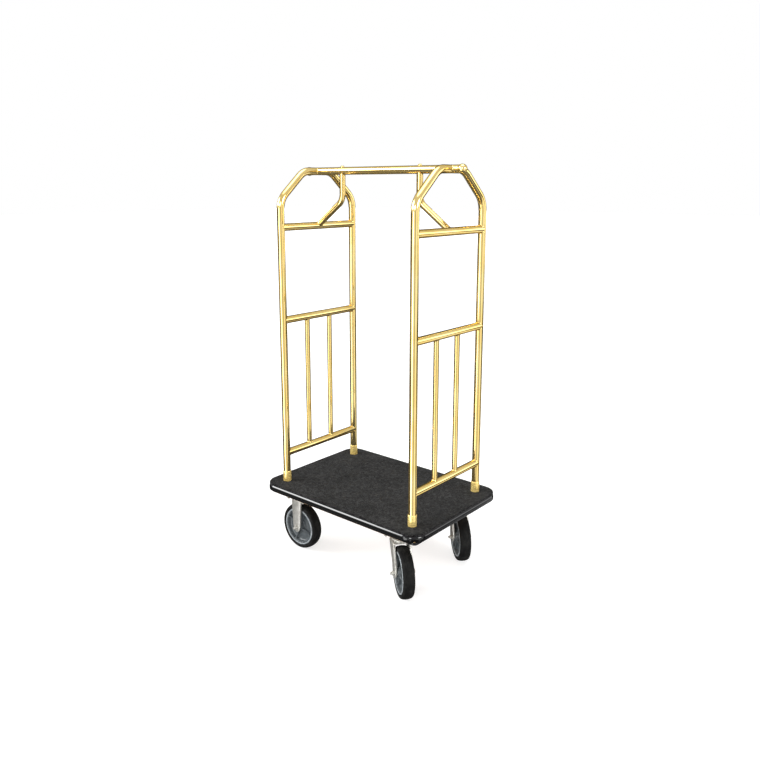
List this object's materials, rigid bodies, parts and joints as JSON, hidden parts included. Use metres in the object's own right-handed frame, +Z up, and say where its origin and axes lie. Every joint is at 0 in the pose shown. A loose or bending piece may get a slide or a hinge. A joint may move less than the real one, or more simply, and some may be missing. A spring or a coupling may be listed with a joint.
{
  "type": "hotel luggage cart",
  "caption": "Bellman's luggage cart: bent brass tube end frames and a hanging rail over a carpeted deck on rigid and swivel casters.",
  "frame": {"origin": "on the floor under the middle of the cart", "axes": "+X along the cart from the rigid casters to the swivel casters, +Y across it, +Z up"},
  "size_m": [0.848, 0.6037, 1.6606],
  "materials": {
    "brass_tube": "polished brass-coloured tube",
    "steel": "zinc-plated steel",
    "board": "sealed plywood",
    "carpet": "dark grey cut-pile carpet",
    "bumper": "glossy black vinyl",
    "hub": "grey moulded plastic",
    "tyre": "black rubber"
  },
  "bodies": {
    "chassis": {"left_hoop": "brass_tube", "left_crossbar": "brass_tube", "left_middle_rail": "brass_tube", "left_lower_rail": "brass_tube", "left_baluster_near": "brass_tube", "left_baluster_far": "brass_tube", "left_ferrule_near": "brass_tube", "left_ferrule_far": "brass_tube", "right_hoop": "brass_tube", "right_crossbar": "brass_tube", "right_middle_rail": "brass_tube", "right_lower_rail": "brass_tube", "right_baluster_near": "brass_tube", "right_baluster_far": "brass_tube", "right_ferrule_near": "brass_tube", "right_ferrule_far": "brass_tube", "hanging_rail": "brass_tube", "left_rail_end": "brass_tube", "right_rail_end": "brass_tube", "left_brace": "brass_tube", "right_brace": "brass_tube", "left_brace_nut": "brass_tube", "right_brace_nut": "brass_tube", "left_leg_bolt_near": "steel", "left_leg_bolt_far": "steel", "right_leg_bolt_near": "steel", "right_leg_bolt_far": "steel", "deck_board": "board", "deck_carpet": "carpet", "deck_bumper": "bumper", "rigid_near_fork": "steel", "rigid_near_bushing": "steel", "rigid_near_axle_bolt": "steel", "rigid_near_axle_nut": "steel", "swivel_near_plate": "steel", "swivel_near_race": "steel", "swivel_near_kingpin": "steel", "rigid_far_fork": "steel", "rigid_far_bushing": "steel", "rigid_far_axle_bolt": "steel", "rigid_far_axle_nut": "steel", "swivel_far_plate": "steel", "swivel_far_race": "steel", "swivel_far_kingpin": "steel"},
    "rigid_near_wheel": {"rigid_near_hub": "hub", "rigid_near_tyre": "tyre"},
    "rigid_far_wheel": {"rigid_far_hub": "hub", "rigid_far_tyre": "tyre"},
    "swivel_near": {"swivel_near_fork": "steel", "swivel_near_bushing": "steel", "swivel_near_axle_bolt": "steel", "swivel_near_axle_nut": "steel"},
    "swivel_near_wheel": {"swivel_near_hub": "hub", "swivel_near_tyre": "tyre"},
    "swivel_far": {"swivel_far_fork": "steel", "swivel_far_bushing": "steel", "swivel_far_axle_bolt": "steel", "swivel_far_axle_nut": "steel"},
    "swivel_far_wheel": {"swivel_far_hub": "hub", "swivel_far_tyre": "tyre"}
  },
  "joints": [
    {"name": "rigid_near_spin", "type": "hinge", "parent": "chassis", "child": "rigid_near_wheel", "pos_m": [-0.28, -0.199, 0.1016], "axis": [0, 1, 0], "continuous": true},
    {"name": "rigid_far_spin", "type": "hinge", "parent": "chassis", "child": "rigid_far_wheel", "pos_m": [-0.28, 0.199, 0.1016], "axis": [0, 1, 0], "continuous": true},
    {"name": "swivel_near_turn", "type": "hinge", "parent": "chassis", "child": "swivel_near", "pos_m": [0.277, -0.199, 0.221], "axis": [0, 0, 1], "continuous": true},
    {"name": "swivel_near_spin", "type": "hinge", "parent": "swivel_near", "child": "swivel_near_wheel", "pos_m": [0.32063, -0.23248, 0.1016], "axis": [0.6088, 0.7934, 0], "continuous": true},
    {"name": "swivel_far_turn", "type": "hinge", "parent": "chassis", "child": "swivel_far", "pos_m": [0.277, 0.199, 0.221], "axis": [0, 0, 1], "continuous": true},
    {"name": "swivel_far_spin", "type": "hinge", "parent": "swivel_far", "child": "swivel_far_wheel", "pos_m": [0.31819, 0.16256, 0.1016], "axis": [0.6626, 0.749, 0], "continuous": true}
  ]
}
